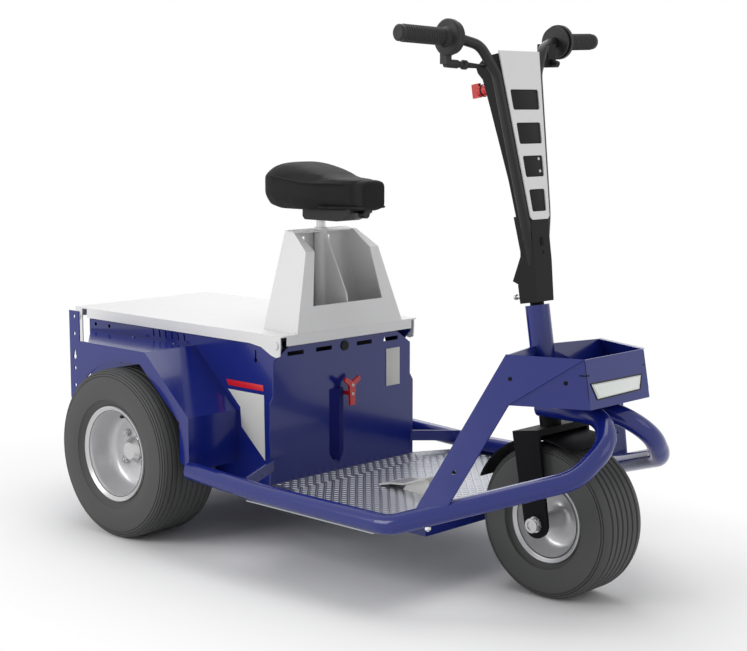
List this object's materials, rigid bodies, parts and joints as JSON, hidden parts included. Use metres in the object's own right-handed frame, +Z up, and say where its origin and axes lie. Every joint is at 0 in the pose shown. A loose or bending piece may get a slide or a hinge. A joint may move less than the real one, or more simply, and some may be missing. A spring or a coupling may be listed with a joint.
{
  "type": "three-wheeled electric baggage tow tractor",
  "caption": "Compact ride-on electric tug with a hinged lid under the saddle, step tubes, a front basket, a steered front wheel and a drop-pin tow hitch.",
  "frame": {"origin": "centre of the bounding box on the ground", "axes": "+X forward, +Y to the rider's left, +Z up"},
  "size_m": [1.6549, 0.8214, 1.2095],
  "materials": {
    "blue_paint": "gloss",
    "white_paint": "satin",
    "grey_paint": "satin",
    "black_paint": "satin",
    "black_plastic": "matte",
    "tyre": "matte",
    "rubber": "matte",
    "chequer_aluminium": "satin",
    "steel": "satin",
    "seat_vinyl": "satin",
    "red_plastic": "gloss",
    "lamp_lens": "gloss",
    "battery_case": "matte"
  },
  "bodies": {
    "chassis": {"battery_box": "blue_paint", "front_panel": "blue_paint", "lid_seal": "rubber", "panel_plug": "black_plastic", "pull_handle": "red_plastic", "battery_block": "battery_case", "hinge_pins": "white_paint", "floor_frame": "blue_paint", "tread_plate": "chequer_aluminium", "pedal": "steel", "basket": "blue_paint", "headlamp": "lamp_lens", "head_tube": "blue_paint", "transaxle": "black_paint", "tow_hitch": "black_paint", "step_tube_left": "blue_paint", "step_tube_right": "blue_paint", "fender_left": "blue_paint", "fender_right": "blue_paint", "legs": "blue_paint"},
    "lid": {"lid_cover": "white_paint", "seat_tower": "white_paint", "seat_post": "steel", "seat_bracket": "black_paint", "seat_cushion": "seat_vinyl", "seat_pan": "black_plastic"},
    "steering": {"fork": "black_paint", "mudguard": "black_plastic", "column_housing": "black_plastic", "face_panel": "white_paint", "handlebar": "black_paint", "grips": "rubber", "brake_guide": "rubber", "control_pod": "black_plastic", "key_switch": "red_plastic", "front_axle": "steel"},
    "front_wheel": {"front_tyre": "tyre", "front_rim": "grey_paint"},
    "rear_wheel_left": {"rear_tyre_left": "tyre", "rear_rim_left": "grey_paint", "rear_hub_left": "steel"},
    "rear_wheel_right": {"rear_tyre_right": "tyre", "rear_rim_right": "grey_paint", "rear_hub_right": "steel"}
  },
  "joints": [
    {"name": "lid_hinge", "type": "hinge", "parent": "chassis", "child": "lid", "pos_m": [-0.0075, 0, 0.49], "axis": [0, 1, 0], "range_deg": [0, 75]},
    {"name": "steering", "type": "hinge", "parent": "chassis", "child": "steering", "pos_m": [0.6405, 0, 0.1655], "axis": [-0.1599, 0, 0.9871], "range_deg": [-45, 45]},
    {"name": "front_wheel_spin", "type": "hinge", "parent": "steering", "child": "front_wheel", "pos_m": [0.6405, 0, 0.1655], "axis": [0, 1, 0], "continuous": true},
    {"name": "rear_wheel_left_spin", "type": "hinge", "parent": "chassis", "child": "rear_wheel_left", "pos_m": [-0.3995, 0.324, 0.205], "axis": [0, 1, 0], "continuous": true},
    {"name": "rear_wheel_right_spin", "type": "hinge", "parent": "chassis", "child": "rear_wheel_right", "pos_m": [-0.3995, -0.324, 0.205], "axis": [0, 1, 0], "continuous": true}
  ]
}
